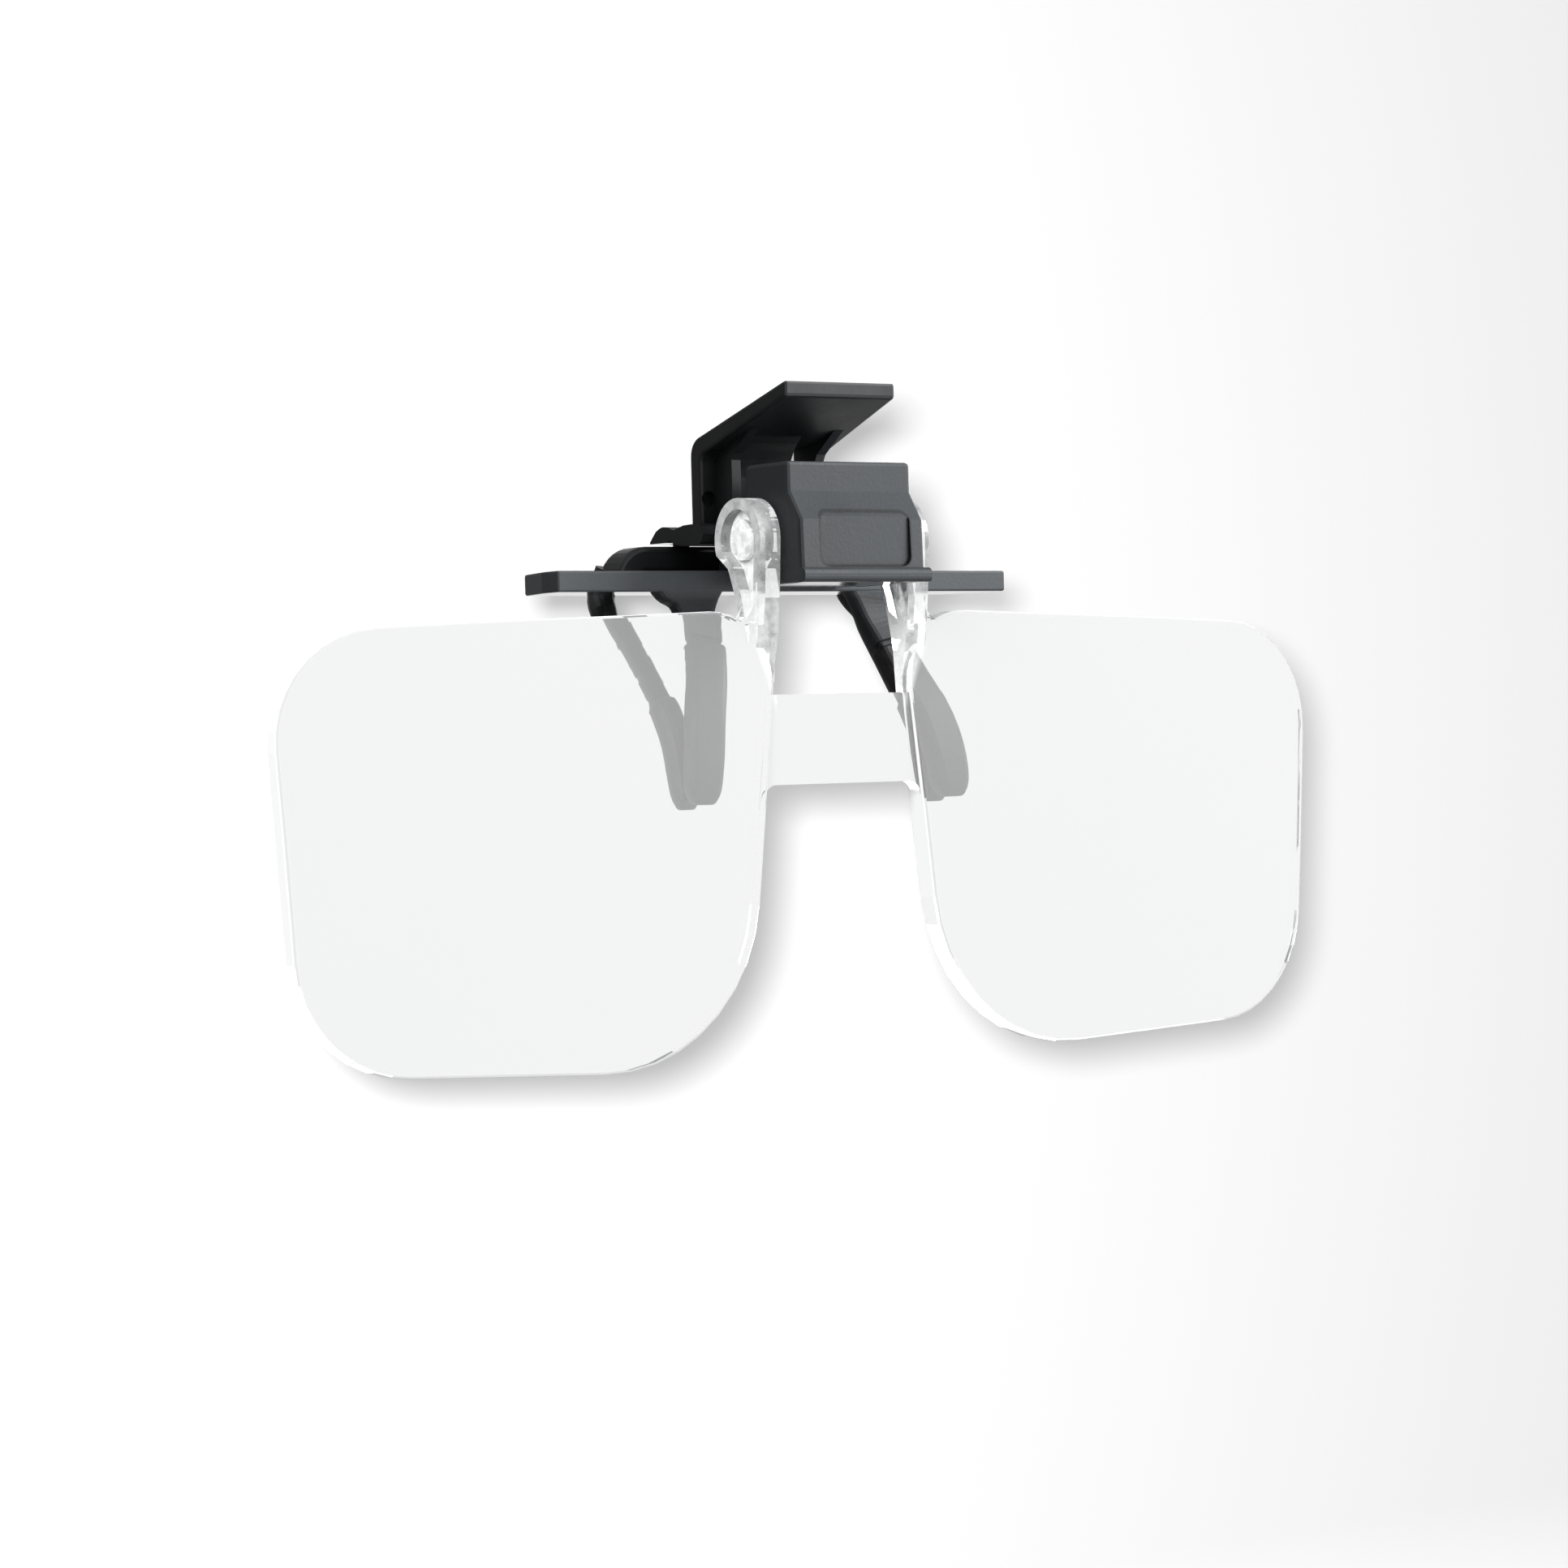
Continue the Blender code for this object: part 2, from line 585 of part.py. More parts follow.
def rear_jaw(finish):
    """Cross beam above the bar whose ends turn down into the two rear arms."""
    low, high = JAW_BEAM_Z
    depth = 1.8
    reach = JAW_BEAM_REACH
    corner = 3.4
    outer = arc((reach - corner, high - corner), corner, 0, 90, 8)
    inner_reach = reach - 2.3
    inner = arc((inner_reach - 1.0, low - 1.0), 1.0, 90, 0, 4)
    side = inner + [(inner_reach, 0.4), (reach, 0.4)] + outer
    outline = side + [(-x, z) for x, z in reversed(side)]
    beam = add_object("rear_jaw", prism(outline, "Y", JAW_BEAM_Y - depth, JAW_BEAM_Y + depth),
                      finish, origin=(0, JAW_Y, JAW_Z))
    soften(beam, 0.5, 3)
    relief = box((inner_reach - 0.6, 0.0, -1.0), (reach + 1.0, BAR_BACK_Y + CLEARANCE, low))
    boolean(beam, "bar_relief", merged(mirrored(relief), relief), "DIFFERENCE")
    arm = loft(blade(REAR_ARM, 20, 0.42))
    core = loft(blade(REAR_CORE, 8, 0.45))
    for name, shape in (("arm", arm), ("core", core)):
        other = mirrored(shape)
        boolean(beam, name + "_right", shape, "UNION")
        boolean(beam, name + "_left", other, "UNION")
    stake = prism(arc((6.0, JAW_BEAM_Y), 0.8, 0, 345, 23), "Z", high - 0.4, FOOT_Z[1] - 0.25)
    boolean(beam, "stakes", merged(mirrored(stake), stake), "UNION")
    return beam


def sleeve(name, finish, outer, bore, steps, side, roundness):
    """Soft sleeve on a prong: a rounded blade with a blind bore that holds the prong's core."""
    body, hole = loft(blade(outer, steps, roundness)), loft(blade(bore, steps, 0.4))
    if side < 0:
        body, hole = mirrored(body), mirrored(hole)
    top = (side * outer[0][0], outer[0][1], outer[0][2])
    made = add_object(name, body, finish, origin=top)
    soften(made, 0.25, 2, 50)
    boolean(made, name + "_bore", hole, "DIFFERENCE")
    return made


def lever_plate_z(y):
    """Height of the thumb plate's top face."""
    (y0, z0), (y1, z1) = LEVER_FRONT, LEVER_CORNER
    return z0 + (z1 - z0) * (y - y0) / (y1 - y0)


def thumb_lever(finish):
    """Thumb plate, upright wall, side walls and the foot that clamps the cross beam."""
    front_y = LEVER_FRONT[0]
    wall_front, wall_back = LEVER_WALL_Y
    down = LEVER_THICKNESS
    strip = rounded(
        [
            (front_y, lever_plate_z(front_y)),
            (front_y, lever_plate_z(front_y) - down),
            (wall_front, lever_plate_z(wall_front) - down * 1.25),
            (wall_front, FOOT_Z[0] + 0.5),
            (wall_back, FOOT_Z[0] + 0.5),
            (wall_back, lever_plate_z(wall_back)),
        ],
        [0, 0, 1.0, 0, 0, 1.9],
    )
    plate = prism(strip, "X", -LEVER_HALF_WIDTH, LEVER_HALF_WIDTH)
    for vertex in plate.verts:
        share = max(0.0, (wall_front - vertex.co.y) / (wall_front - front_y))
        narrow = LEVER_HALF_WIDTH + (LEVER_FRONT_HALF_WIDTH - LEVER_HALF_WIDTH) * share
        vertex.co.x *= narrow / LEVER_HALF_WIDTH
    lever = add_object("thumb_lever", plate, finish, origin=(0, JAW_Y, JAW_Z))
    soften(lever, 0.3)

    low, high = FOOT_Z
    foot = [
        *arc((JAW_Y - 1.35, (low + high) / 2), (high - low) / 2, 270, 90, 8),
        (0.6, high - 0.03),
        (1.6, high - 0.2),
        (2.35, high - 0.38),
        (2.9, high - 0.3),
        (3.4, high - 0.1),
        *arc((4.3, high - 1.9), 1.9, 100, 70, 2),
        (5.6, high - 0.35),
        (6.2, high - 0.85),
        (6.75, low + 0.65),
        (6.7, low + 0.5),
        (3.9, low + 0.5),
        (3.35, low + 0.68),
        (2.7, low + 0.52),
        (2.2, low + 0.25),
        (1.1, low + 0.06),
    ]
    boolean(lever, "foot", prism(foot, "X", -FOOT_HALF_WIDTH, FOOT_HALF_WIDTH), "UNION")

    inner_x, outer_x = SIDE_WALL_X
    rib = [
        (wall_front + 0.6, low + 0.6),
        (-2.85, low + 0.6),
        (-2.85, 12.4),
        (-3.2, 13.0),
        (-6.0, lever_plate_z(-6.0) - down - 0.3),
        (-8.0, lever_plate_z(-8.0) - down + 0.2),
        (wall_front + 0.6, lever_plate_z(wall_front) - down + 0.2),
    ]
    wall = prism(rib, "X", inner_x, outer_x)
    boolean(lever, "side_walls", merged(mirrored(wall), wall), "UNION")
    web = [
        (wall_front + 0.6, 9.0),
        (-2.0, 9.0),
        *arc((-8.3, 9.5), 6.2, 12, 62, 6),
        (-8.0, lever_plate_z(-8.0) - down + 0.2),
        (wall_front + 0.6, lever_plate_z(wall_front) - down + 0.2),
    ]
    boolean(lever, "web", prism(web, "X", -inner_x - 0.2, 1.5), "UNION")

    boolean(lever, "spring_bay", box((-inner_x, -4.5, low - 2.0), (inner_x, 2.6, 8.6)), "DIFFERENCE")
    arch = [(3.7, 14.1), (3.0, 13.7), (2.4, 13.0), (1.9, 12.0), (1.3, 10.6)]
    opening = [(0.6, 8.0), (inner_x, 8.0), (inner_x, 14.1)] + arch
    boolean(lever, "window", prism(opening, "Y", -4.0, 1.2), "DIFFERENCE")
    wider = [(1.5, 8.2), (outer_x + 0.4, 8.2), (outer_x + 0.4, 13.3), (outer_x - 0.3, 13.9)]
    wider += [(x + 0.1, z - 0.1) for x, z in arch[:-1]]
    boolean(lever, "window_back", prism(wider, "Y", 0.75, wall_back + 1.0), "DIFFERENCE")
    recess = prism(arc((-5.95, 8.9), 0.75, 0, 345, 23), "Y", wall_front - 1.0, wall_front + 0.9)
    boolean(lever, "recess", recess, "DIFFERENCE")
    boolean(lever, "pin_bore", rod(JAW_Y, JAW_Z, PIN_HOLE_RADIUS, -7.4, 9.0), "DIFFERENCE")
    stake_hole = prism(arc((6.0, JAW_BEAM_Y), 1.05, 0, 345, 23), "Z", low - 1.0, high + 1.0)
    boolean(lever, "stake_holes", merged(mirrored(stake_hole), stake_hole), "DIFFERENCE")
    return lever


def jaw_pin(finish):
    """Steel pin through the lugs and the lever's foot."""
    return add_object("jaw_pin", rod(JAW_Y, JAW_Z, PIN_RADIUS, -7.1, 8.2), finish, origin=(0, JAW_Y, JAW_Z))


def jaw_spring(finish):
    """Torsion spring on the pin: one leg rests on the bar, the other lifts the lever's web."""
    wire = 0.25
    radius = 1.15
    low, high = -1.25, 1.25
    rings = helix(radius, wire, low, high, 4.5, 16, start=-90.0)
    place = Vector((0, JAW_Y, JAW_Z))
    coil = [[point + place for point in ring] for ring in rings]

    def leg(x, start, end):
        """Straight wire that leaves the coil, in the plane of one x."""
        along = (Vector((x, *end)) - Vector((x, *start))).normalized()
        side = along.cross(Vector((1, 0, 0)))
        ring = []
        for j in range(6):
            a = 2 * math.pi * j / 6
            ring.append(Vector((1, 0, 0)) * wire * math.sin(a) + side * wire * math.cos(a))
        return loft([[Vector((x, *point)) + offset for offset in ring] for point in (start, end)])

    spring = add_object("jaw_spring", loft(coil), finish, origin=(0, JAW_Y, JAW_Z), smooth_angle=80)
    low_z, high_z = JAW_Z - radius + 0.03, JAW_Z + radius - 0.03
    boolean(spring, "bar_leg", leg(low, (JAW_Y + 0.1, low_z), (JAW_Y - 3.4, 2.55)), "UNION")
    boolean(spring, "lever_leg", leg(high, (JAW_Y + 0.1, high_z), (JAW_Y - 1.9, 7.6)), "UNION")
    return spring


def main():
    clear_scene()
    charcoal = material("charcoal_plastic", (0.10, 0.107, 0.115), 0.5)
    dark = material("dark_plastic", (0.035, 0.038, 0.042), 0.45)
    clear = material("clear_acrylic", (0.97, 0.98, 0.98), 0.03, transmission=1.0)
    rubber = material("black_rubber", (0.02, 0.02, 0.02), 0.6)
    acetal = material("white_acetal", (0.85, 0.85, 0.82), 0.4)
    steel = material("spring_steel", (0.6, 0.6, 0.6), 0.25, metallic=1.0)

    front_frame(charcoal)
    hinge_housing(charcoal)
    lens_pair(clear)
    detent_plunger("detent_plunger_right", acetal, 1)
    detent_plunger("detent_plunger_left", acetal, -1)
    detent_spring(steel)
    thumb_lever(dark)
    rear_jaw(dark)
    jaw_pin(steel)
    jaw_spring(steel)
    for word, side in (("right", 1), ("left", -1)):
        sleeve("front_sleeve_" + word, rubber, FRONT_SLEEVE, FRONT_BORE, 14, side, 0.32)
        sleeve("rear_sleeve_" + word, rubber, REAR_SLEEVE, REAR_BORE, 12, side, 0.42)


main()
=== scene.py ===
"""Looks of the clip-on flip lenses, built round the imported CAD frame.  Metres, +Z up."""

import math

import bmesh
import bpy
from mathutils import Matrix, Vector

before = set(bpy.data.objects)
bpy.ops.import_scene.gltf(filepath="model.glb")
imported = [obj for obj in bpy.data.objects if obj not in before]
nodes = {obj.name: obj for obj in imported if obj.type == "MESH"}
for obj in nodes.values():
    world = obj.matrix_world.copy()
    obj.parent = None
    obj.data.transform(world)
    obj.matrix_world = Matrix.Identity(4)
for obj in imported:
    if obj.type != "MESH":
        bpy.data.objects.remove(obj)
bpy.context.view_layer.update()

# Camera: where it stands, and its right, up and ahead directions
CAMERA_PLACE = Vector((-0.22490, -0.34390, -0.01425))
CAMERA_LENS_MM = 99.3
SENSOR_MM = 36.0
VIEW_RIGHT = Vector((0.8347, -0.5501, -0.0259))
VIEW_UP = Vector((0.0269, -0.0063, 0.9996))
VIEW_AHEAD = Vector((0.55, 0.8351, -0.0095))
CAMERA_TURN = Matrix((VIEW_RIGHT, VIEW_UP, -VIEW_AHEAD)).transposed().to_quaternion()

# Studio directions, as azimuth and elevation in degrees; a softbox edge runs through two of them
SOFTBOX_MIDDLE = (35.0, 5.0)
SOFTBOX_LEFT_EDGE = ((19.3, -7.9), (14.7, 4.6))
SOFTBOX_RIGHT_EDGE = ((54.2, 3.3), (51.8, -7.3))
CEILING_AIM = Vector((-0.45, 0.1, 0.89))
# Where each studio light starts and where it is full, as the dot product with its aim
HALO_FALL = (0.45, 0.86)
SOFTBOX_FALL = (0.70, 0.88)
EDGE_FALL = (-0.01, 0.01)
CEILING_FALL = (0.5, 1.0)
BACKDROP_FALL = (0.80, 0.95)
# Brightness of the studio: everywhere, and what each part of it adds
DIM_LEVEL = 0.16
HALO_LEVEL = 1.35
SOFTBOX_LEVEL = 0.5
CEILING_LEVEL = 0.6
BACKDROP_LEVEL = 0.8
# Brightness of the surroundings in direct view, and of surroundings or paper through the clear moulding
SEEN_DIRECTLY = 1.0
SEEN_THROUGH = 0.715
# A transmission depth above this means that the ray has passed through the clear moulding
PASSED_THROUGH = 0.5

# Backdrop
WALL_Y = 0.034
FLOOR_Z = -0.165
SWEEP_RADIUS = 0.06
BACKDROP_HALF = 1.6
SWEEP_STEPS = 12
PAPER_GREY = 0.62

# Share of diffuse haze on each part of the clear moulding
LENS_HAZE = 0.14
EDGE_HAZE = 0.5
EAR_HAZE = 0.38
POCKET_HAZE = 0.78
# Light that a lamp's ray keeps at each surface of the clear moulding
LAMP_PASSES = 0.25
# Rays with more bounces than this pass the clear moulding unbent
TRAPPED_DEPTH = 3.5

# Parts of the clear moulding, as distances from the middle plane; the ears narrow below a height
BRIDGE_HALF = 0.0071
EAR_OUTER_X = 0.0094
EAR_BLEND = 0.0006
EAR_NARROWS_Z = -0.0045
EAR_NARROWING = 0.37
POCKET_X = 0.0093
# Sizes of the normal's Y and X between which a face starts to count as forward or sideways
FORWARD_NORMAL = (0.55, 0.85)
SIDEWAYS_NORMAL = (0.7, 0.95)

# Front frame: the heights between which the prongs' painted shade, where the bar and block shade them,
# turns into the bar's painted light
PRONG_TO_BAR_Z = (-0.0008, 0.0002)
PRONG_PAINTED_SHADE = 0.62
BAR_PAINTED_LIGHT = 1.28

# Recessed panel on the hinge block: middle, half sizes without the round corners, and their radius
PANEL_MIDDLE = {"X": 0.00035, "Z": 0.00435}
PANEL_HALF = {"X": 0.00405, "Z": 0.0016}
PANEL_CORNER = 0.00092
BLOCK_FRONT_Y = -0.0155
# Painted shade in the rim groove: how far from the panel's edge it is dark and where it ends, and how dark
# it is
RIM_SHADE_WIDTH = (0.00008, 0.00028)
RIM_PAINTED_SHADE = 0.45

# Undersides of moulded plastic: the normal's Z between which they begin, and their polish
UNDERSIDE_NORMAL = (-0.97, -0.995)
UNDERSIDE_ROUGHNESS = 0.08
UNDERSIDE_SPECULAR = 0.6


# ---------------------------------------------------------------- node helper


class Tree:
    """Short way to write the nodes of a world or a material."""

    def __init__(self, owner):
        owner.use_nodes = True
        self.owner = owner
        self.nodes = owner.node_tree.nodes
        self.links = owner.node_tree.links
        self.coordinates = None

    @property
    def shader(self):
        return self.nodes["Principled BSDF"]

    def add(self, kind, **settings):
        made = self.nodes.new("ShaderNode" + kind)
        for key, value in settings.items():
            setattr(made, key, value)
        return made

    def put(self, value, socket):
        """Link a socket, or set a constant."""
        if isinstance(value, bpy.types.NodeSocket):
            self.links.new(value, socket)
        else:
            socket.default_value = value

    def place(self):
        if self.coordinates is None:
            self.coordinates = self.add("TexCoord").outputs["Object"]
        return self.coordinates

    def axes(self, vector):
        made = self.add("SeparateXYZ")
        self.put(vector, made.inputs[0])
        return made.outputs

    def true_normal(self):
        return self.axes(self.add("NewGeometry").outputs["True Normal"])

    def noise(self, scale, detail=3.0, roughness=0.5):
        made = self.add("TexNoise")
        made.inputs["Scale"].default_value = scale
        made.inputs["Detail"].default_value = detail
        made.inputs["Roughness"].default_value = roughness
        self.put(self.place(), made.inputs["Vector"])
        return made.outputs["Fac"]

    def blend(self, share, a, b):
        """Colour from a to b."""
        made = self.add("Mix", data_type="RGBA")
        for value, socket in zip((share, a, b), (made.inputs[0], made.inputs[6], made.inputs[7])):
            self.put(value, socket)
        return made.outputs[2]

    def number(self, share, a, b):
        """Number from a to b."""
        made = self.add("Mix")
        for value, socket in zip((share, a, b), (made.inputs[0], made.inputs[2], made.inputs[3])):
            self.put(value, socket)
        return made.outputs[0]

    def remap(self, value, low, high, to_low, to_high, **settings):
        made = self.add("MapRange", **settings)
        self.put(value, made.inputs["Value"])
        for key, number in zip(("From Min", "From Max", "To Min", "To Max"), (low, high, to_low, to_high)):
            made.inputs[key].default_value = number
        return made.outputs["Result"]

    def math(self, operation, *values):
        made = self.add("Math", operation=operation)
        for value, socket in zip(values, made.inputs):
            self.put(value, socket)
        return made.outputs[0]

    def towards(self, vector, aim, low, high):
        """0 to 1, smoothly, as the vector turns to the aim and their dot product goes from low to high."""
        made = self.add("VectorMath", operation="DOT_PRODUCT")
        self.put(vector, made.inputs[0])
        self.put(aim, made.inputs[1])
        return self.remap(made.outputs["Value"], low, high, 0.0, 1.0, interpolation_type="SMOOTHSTEP")

    def scale_colour(self, factor):
        """Multiply the base colour by a number."""
        base = self.shader.inputs["Base Color"]
        scaled = self.add("VectorMath", operation="SCALE")
        self.put(base.links[0].from_socket, scaled.inputs[0])
        self.put(factor, scaled.inputs["Scale"])
        self.put(scaled.outputs[0], base)

    def bump(self, height, distance, strength):
        made = self.add("Bump")
        made.inputs["Distance"].default_value = distance
        self.put(strength, made.inputs["Strength"])
        self.put(height, made.inputs["Height"])
        self.put(made.outputs["Normal"], self.shader.inputs["Normal"])

    def mix_shaders(self, share, a, b):
        made = self.add("MixShader")
        for value, socket in zip((share, a, b), made.inputs):
            self.put(value, socket)
        return made.outputs[0]

    def surface(self, shader):
        self.put(shader, self.nodes["Material Output"].inputs["Surface"])


def new_tree(name):
    return Tree(bpy.data.materials.new(name))


# ---------------------------------------------------------------- camera, studio and backdrop


def direction(azimuth, elevation):
    """Unit vector; azimuth is measured from -Y towards +X, in degrees."""
    a, e = math.radians(azimuth), math.radians(elevation)
    return Vector((math.sin(a) * math.cos(e), -math.cos(a) * math.cos(e), math.sin(e)))


def add_camera():
    data = bpy.data.cameras.new("camera")
    data.lens = CAMERA_LENS_MM
    data.sensor_width = SENSOR_MM
    data.clip_start = 0.01
    data.clip_end = 20.0
    made = bpy.data.objects.new("camera", data)
    bpy.context.scene.collection.objects.link(made)
    made.matrix_world = Matrix.LocRotScale(CAMERA_PLACE, CAMERA_TURN, None)
    bpy.context.scene.camera = made
    return made


def edge_normal(first, second):
    """Normal of the plane through the object and two directions."""
    return direction(*first).cross(direction(*second)).normalized()


def add_studio():
    """Soft light from all round: a halo with an upright softbox, a ceiling and a bright backdrop."""
    world = bpy.data.worlds.new("studio")
    bpy.context.scene.world = world
    tree = Tree(world)
    world.cycles.sampling_method = "NONE"
    seen = tree.add("TexCoord").outputs["Generated"]
    middle = direction(*SOFTBOX_MIDDLE)
    halo = tree.towards(seen, middle, *HALO_FALL)
    from_left = tree.towards(seen, edge_normal(*SOFTBOX_LEFT_EDGE), *EDGE_FALL)
    from_right = tree.towards(seen, edge_normal(*SOFTBOX_RIGHT_EDGE), *EDGE_FALL)
    softbox = tree.math("MULTIPLY", from_left, from_right)
    softbox = tree.math("MULTIPLY", softbox, tree.towards(seen, middle, *SOFTBOX_FALL))
    ceiling = tree.towards(seen, CEILING_AIM, *CEILING_FALL)
    backdrop = tree.towards(seen, VIEW_AHEAD, *BACKDROP_FALL)
    level = tree.math("MULTIPLY_ADD", halo, HALO_LEVEL, DIM_LEVEL)
    level = tree.math("MULTIPLY_ADD", softbox, SOFTBOX_LEVEL, level)
    level = tree.math("MULTIPLY_ADD", ceiling, CEILING_LEVEL, level)
    level = tree.math("MULTIPLY_ADD", backdrop, BACKDROP_LEVEL, level)
    rays = tree.add("LightPath").outputs
    level = tree.number(rays["Is Camera Ray"], level, SEEN_DIRECTLY)
    through = tree.math("GREATER_THAN", rays["Transmission Depth"], PASSED_THROUGH)
    level = tree.number(through, level, SEEN_THROUGH)
    background = tree.nodes["Background"]
    tree.put(level, background.inputs["Strength"])
    background.inputs["Color"].default_value = (1.0, 1.0, 1.0, 1.0)


def paper():
    """Pale paper: evenly bright through the clear moulding, and see-through from behind."""
    tree = new_tree("paper")
    front = tree.add("BsdfDiffuse")
    front.inputs["Color"].default_value = (PAPER_GREY, PAPER_GREY, PAPER_GREY, 1.0)
    plain = tree.add("Emission")
    plain.inputs["Strength"].default_value = SEEN_THROUGH
    depth = tree.add("LightPath").outputs["Transmission Depth"]
    through = tree.math("GREATER_THAN", depth, PASSED_THROUGH)
    shown = tree.mix_shaders(through, front.outputs[0], plain.outputs[0])
    from_behind = tree.add("NewGeometry").outputs["Backfacing"]
    tree.surface(tree.mix_shaders(from_behind, shown, tree.add("BsdfTransparent").outputs[0]))
    return tree.owner


def sweep():
    """Pale floor that curves up into a backdrop behind the object."""
    profile = [(-BACKDROP_HALF, FLOOR_Z)]
    for k in range(SWEEP_STEPS + 1):
        a = math.radians(-90 + 90 * k / SWEEP_STEPS)
        y = WALL_Y - SWEEP_RADIUS + SWEEP_RADIUS * math.cos(a)
        profile.append((y, FLOOR_Z + SWEEP_RADIUS + SWEEP_RADIUS * math.sin(a)))
    profile.append((WALL_Y, BACKDROP_HALF))
    shape = bmesh.new()
    rows = [[shape.verts.new((x, y, z)) for y, z in profile] for x in (-BACKDROP_HALF, BACKDROP_HALF)]
    for k in range(len(profile) - 1):
        shape.faces.new((rows[0][k], rows[1][k], rows[1][k + 1], rows[0][k + 1]))
    mesh = bpy.data.meshes.new("backdrop")
    shape.to_mesh(mesh)
    shape.free()
    mesh.shade_smooth()
    mesh.materials.append(paper())
    made = bpy.data.objects.new("backdrop", mesh)
    bpy.context.scene.collection.objects.link(made)
    made.visible_diffuse = False
    made.visible_glossy = False
    return made


# ---------------------------------------------------------------- lamps


def lit_group(name, objects):
    """Collection that a lamp is limited to."""
    made = bpy.data.collections.new(name)
    for item in objects:
        made.objects.link(item)
    return made


def add_lamp(data, energy, lit):
    data.energy = energy
    lamp = bpy.data.objects.new(data.name, data)
    bpy.context.scene.collection.objects.link(lamp)
    lamp.light_linking.receiver_collection = lit
    return lamp


def far_lamp(name, travel, energy, spread, lit, shadows=True):
    """Soft distant lamp that shines on one group of objects; the spread is in degrees."""
    data = bpy.data.lights.new(name, "SUN")
    data.use_shadow = shadows
    data.angle = math.radians(spread)
    lamp = add_lamp(data, energy, lit)
    lamp.rotation_mode = "QUATERNION"
    lamp.rotation_quaternion = travel.to_track_quat("-Z", "Y")


def near_lamp(name, offset, power, width, lit):
    """Round lamp near the camera, so that shadows on the backdrop stay close to what casts them."""
    data = bpy.data.lights.new(name, "AREA")
    data.shape = "DISK"
    data.size = width
    lamp = add_lamp(data, power, lit)
    lamp.matrix_world = Matrix.LocRotScale(camera.matrix_world @ offset, CAMERA_TURN, None)


# ---------------------------------------------------------------- materials


def moulded(name, dark, light, rough=(0.42, 0.58), grain=2600.0, depth=0.000018, specular=0.5):
    """Moulded plastic: fine eroded texture, faint flow marks, and an untextured, shinier underside."""
    tree = new_tree(name)
    broad = tree.noise(90.0, 4.0, 0.6)
    fine = tree.noise(grain, 2.0, 0.6)
    mottled = tree.remap(tree.math("MULTIPLY_ADD", fine, 0.25, broad), 0.45, 0.8, 0.0, 1.0)
    tree.put(tree.blend(mottled, (*dark, 1.0), (*light, 1.0)), tree.shader.inputs["Base Color"])
    below = tree.remap(tree.true_normal()["Z"], *UNDERSIDE_NORMAL, 0.0, 1.0)
    textured = tree.remap(mottled, 0.0, 1.0, *rough)
    tree.put(tree.number(below, textured, UNDERSIDE_ROUGHNESS), tree.shader.inputs["Roughness"])
    tree.put(tree.number(below, specular, UNDERSIDE_SPECULAR), tree.shader.inputs["Specular IOR Level"])
    tree.bump(fine, depth, tree.math("SUBTRACT", 1.0, below))
    return tree


def frame_charcoal():
    """Charcoal a little paler than the housing's, as painted light, with painted light on the brow bar and
    painted shade on the prongs below it.
    """
    tree = moulded("charcoal_frame", (0.046, 0.051, 0.056), (0.058, 0.064, 0.070), specular=0.28)
    height = tree.axes(tree.place())["Z"]
    # Painted shade darkens the prongs below the bar; painted light brightens the brow bar.
    tree.scale_colour(tree.remap(height, *PRONG_TO_BAR_Z, PRONG_PAINTED_SHADE, BAR_PAINTED_LIGHT))
    return tree


def housing_charcoal():
    """Charcoal with a fine line of painted shade along the rim groove of the block's recessed panel."""
    tree = moulded("charcoal_housing", (0.042, 0.0465, 0.051), (0.053, 0.0585, 0.064), specular=0.28)
    axes = tree.axes(tree.place())
    reach = []
    for axis, middle in PANEL_MIDDLE.items():
        from_middle = tree.math("ABSOLUTE", tree.math("SUBTRACT", axes[axis], middle))
        reach.append(tree.math("SUBTRACT", from_middle, PANEL_HALF[axis]))
    squares = [tree.math("POWER", tree.math("MAXIMUM", side, 0.0), 2.0) for side in reach]
    inner = tree.math("MINIMUM", tree.math("MAXIMUM", *reach), 0.0)
    to_edge = tree.math("ADD", tree.math("SQRT", tree.math("ADD", *squares)), inner)
    off_rim = tree.math("ABSOLUTE", tree.math("SUBTRACT", to_edge, PANEL_CORNER))
    # Painted shade where the panel's rim groove is in shadow, on the block's front only.
    painted_rim_shade = tree.remap(off_rim, *RIM_SHADE_WIDTH, 1.0, 0.0)
    painted_rim_shade = tree.math("MULTIPLY", painted_rim_shade, tree.math("LESS_THAN", axes["Y"], BLOCK_FRONT_Y))
    tree.scale_colour(tree.remap(painted_rim_shade, 0.0, 1.0, 1.0, RIM_PAINTED_SHADE))
    return tree


def spring_steel():
    tree = new_tree("drawn_steel")
    streaks = tree.noise(700.0, 2.0)
    colour = tree.blend(streaks, (0.42, 0.42, 0.43, 1.0), (0.62, 0.62, 0.63, 1.0))
    tree.put(colour, tree.shader.inputs["Base Color"])
    tree.put(tree.remap(streaks, 0.3, 0.7, 0.2, 0.38), tree.shader.inputs["Roughness"])
    tree.shader.inputs["Metallic"].default_value = 1.0
    return tree


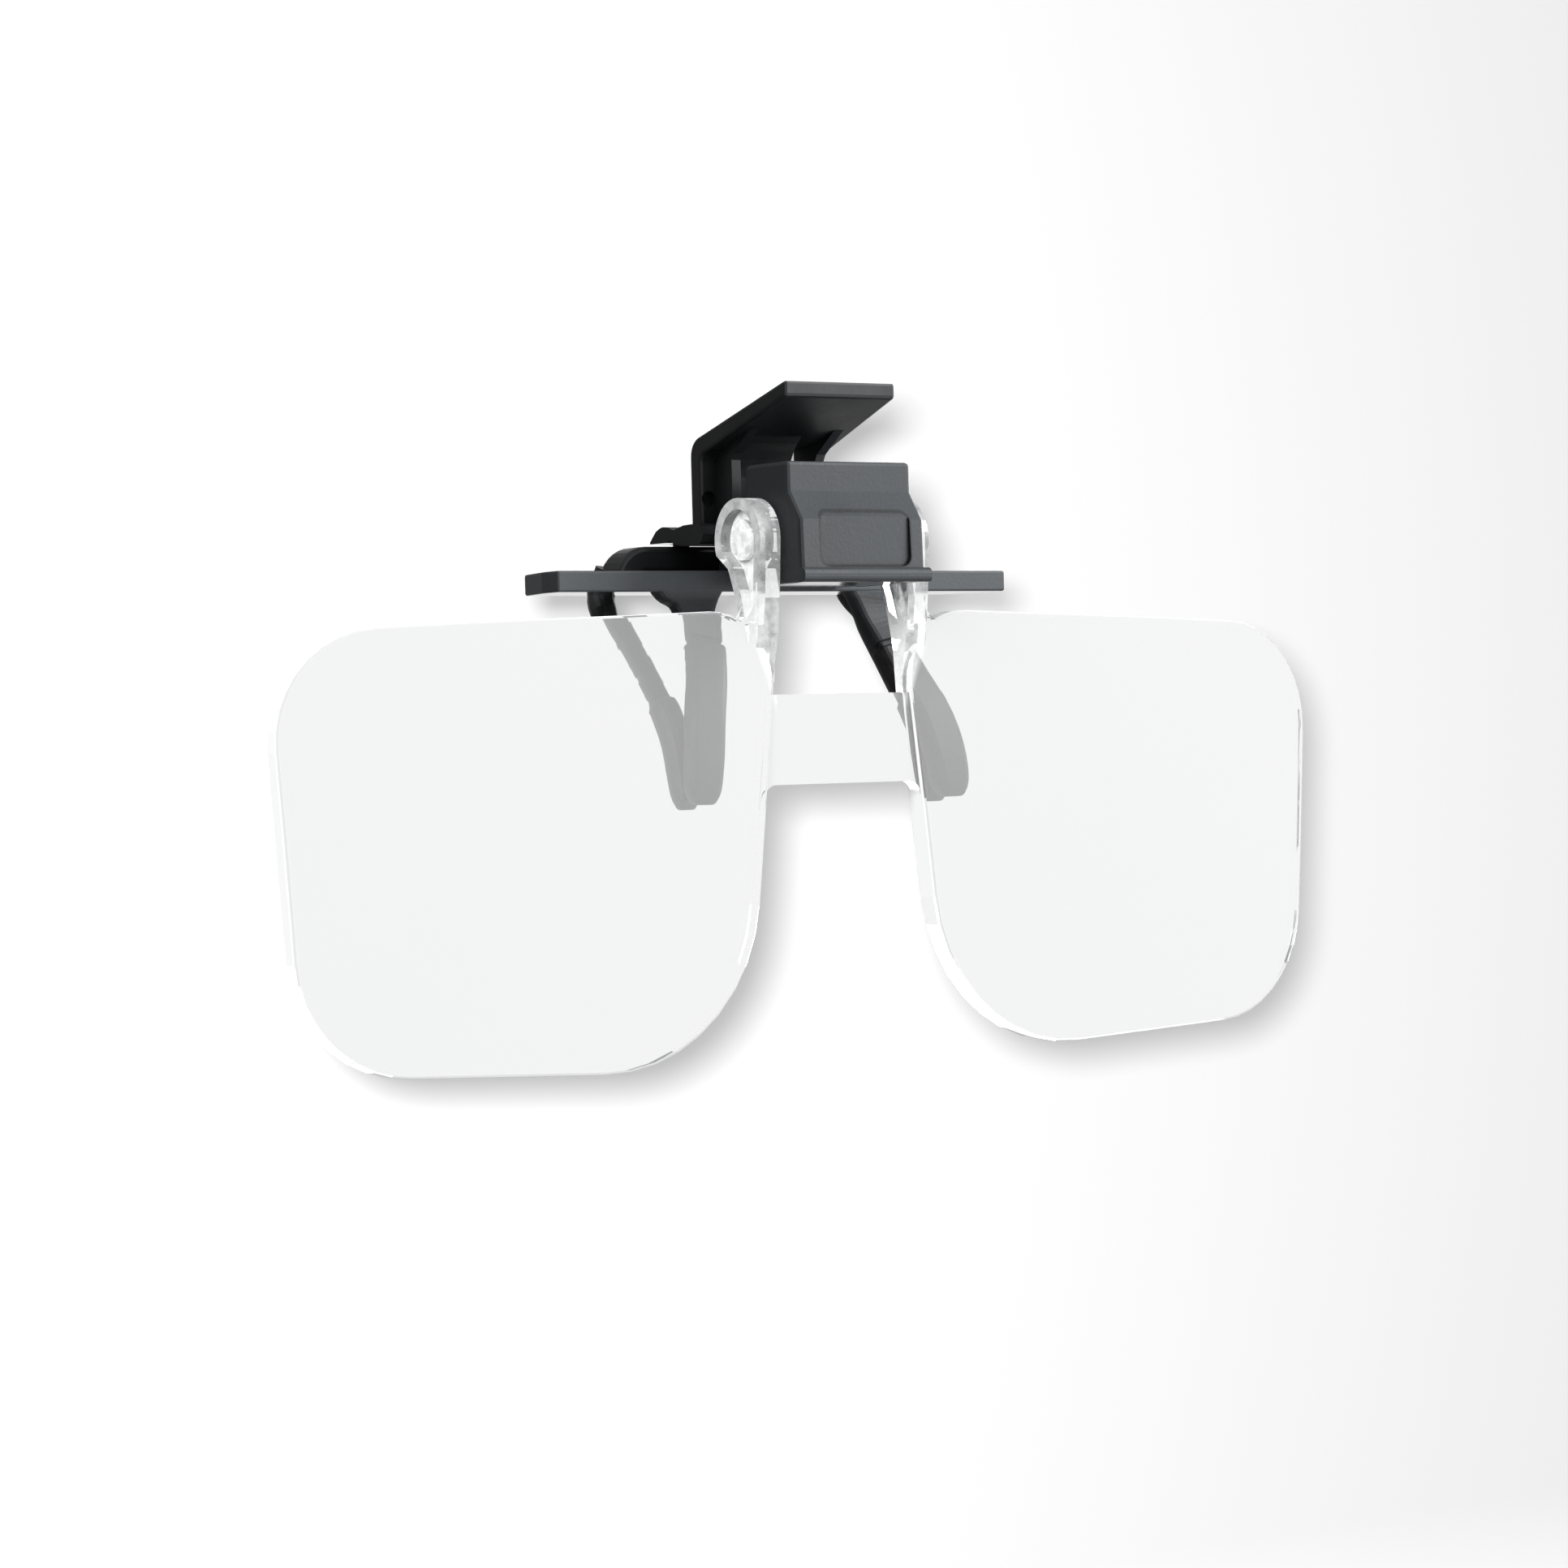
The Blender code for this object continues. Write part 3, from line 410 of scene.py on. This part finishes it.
def haze_share(tree, rays):
    """Share of haze where light first meets the moulding: least on the lenses, most in the pockets."""
    axes = tree.axes(tree.place())
    x = tree.math("ABSOLUTE", axes["X"])
    drop = tree.math("MAXIMUM", tree.math("SUBTRACT", EAR_NARROWS_Z, axes["Z"]), 0.0)
    outward = tree.math("MULTIPLY_ADD", drop, EAR_NARROWING, x)
    past_ear = tree.remap(outward, EAR_OUTER_X, EAR_OUTER_X + EAR_BLEND, 0.0, 1.0)
    lens = tree.math("MAXIMUM", past_ear, tree.math("LESS_THAN", x, BRIDGE_HALF))

    normal = tree.true_normal()
    forward = tree.remap(tree.math("ABSOLUTE", normal["Y"]), *FORWARD_NORMAL, 0.0, 1.0)
    sideways = tree.remap(tree.math("ABSOLUTE", normal["X"]), *SIDEWAYS_NORMAL, 0.0, 1.0)
    pocket = tree.math("MULTIPLY", sideways, tree.math("LESS_THAN", x, POCKET_X))
    scuffs = tree.remap(tree.noise(700.0, 3.0, 0.6), 0.35, 0.7, 0.6, 1.2)
    ear = tree.math("MULTIPLY", tree.number(pocket, EAR_HAZE, POCKET_HAZE), scuffs)
    share = tree.number(lens, ear, tree.number(forward, EDGE_HAZE, LENS_HAZE))
    first = tree.math("LESS_THAN", rays["Transmission Depth"], PASSED_THROUGH)
    return tree.math("MULTIPLY", share, first)


def clear_plastic():
    """Polished clear moulding with haze; it lets part of the lamps' light reach what is behind it."""
    tree = new_tree("clear_moulding")
    rays = tree.add("LightPath").outputs
    shader = tree.shader
    shader.inputs["Transmission Weight"].default_value = 1.0
    shader.inputs["IOR"].default_value = 1.52
    cloud = tree.noise(120.0, 2.0)
    tree.put(tree.remap(cloud, 0.3, 0.7, 0.0, 0.004), shader.inputs["Roughness"])
    tree.put(tree.blend(cloud, (0.985, 0.99, 0.99, 1.0), (1.0, 1.0, 1.0, 1.0)), shader.inputs["Base Color"])
    haze = tree.add("BsdfDiffuse")
    haze.inputs["Color"].default_value = (0.95, 0.96, 0.96, 1.0)
    hazy = tree.mix_shaders(haze_share(tree, rays), shader.outputs[0], haze.outputs[0])
    straight = tree.add("BsdfTransparent")
    passes = (LAMP_PASSES, LAMP_PASSES, LAMP_PASSES, 1.0)
    tree.put(tree.blend(rays["Is Shadow Ray"], (1.0, 1.0, 1.0, 1.0), passes), straight.inputs["Color"])
    either = tree.math("MAXIMUM", rays["Is Shadow Ray"], rays["Is Diffuse Ray"])
    either = tree.math("MAXIMUM", either, tree.math("GREATER_THAN", rays["Ray Depth"], TRAPPED_DEPTH))
    tree.surface(tree.mix_shaders(either, hazy, straight.outputs[0]))
    return tree


def set_material(name, tree):
    slots = nodes[name].material_slots
    for slot in slots:
        slot.material = tree.owner
    if not slots:
        nodes[name].data.materials.append(tree.owner)


# ---------------------------------------------------------------- build

camera = add_camera()
bpy.context.scene.view_settings.view_transform = "Standard"
add_studio()

paper_group = lit_group("lit_paper", [sweep()])
object_group = lit_group("lit_object", nodes.values())
clear_group = lit_group("lit_clear", [nodes["lens_pair"]])
straight_down = Vector((0.0, 0.0, -1.0))
from_camera = Vector((-0.0155, 0.0165, 0.030))
far_lamp("floor", straight_down, energy=2.6, spread=1.0, lit=paper_group, shadows=False)
near_lamp("drop", from_camera, power=2.5, width=0.038, lit=paper_group)
far_lamp("key", -direction(57.0, 23.0), energy=3.75, spread=36.0, lit=object_group)
far_lamp("side", -direction(-62.0, 22.0), energy=4.0, spread=30.0, lit=clear_group)

black = moulded(
    "black_moulding",
    dark=(0.015, 0.016, 0.0175),
    light=(0.024, 0.026, 0.028),
    rough=(0.28, 0.44),
    grain=1500.0,
    depth=0.000007,
    specular=0.37,
)
rubber = moulded(
    "sleeve_rubber",
    dark=(0.006, 0.006, 0.006),
    light=(0.010, 0.010, 0.010),
    rough=(0.45, 0.6),
    grain=1800.0,
    depth=0.00003,
)
acetal = moulded("white_acetal", dark=(0.80, 0.80, 0.77), light=(0.86, 0.86, 0.83), rough=(0.35, 0.45))
steel = spring_steel()

set_material("front_frame", frame_charcoal())
set_material("hinge_housing", housing_charcoal())
set_material("lens_pair", clear_plastic())
for name in ("thumb_lever", "rear_jaw"):
    set_material(name, black)
for name in nodes:
    if "sleeve" in name:
        set_material(name, rubber)
    if "plunger" in name:
        set_material(name, acetal)
    if "spring" in name or "pin" in name:
        set_material(name, steel)
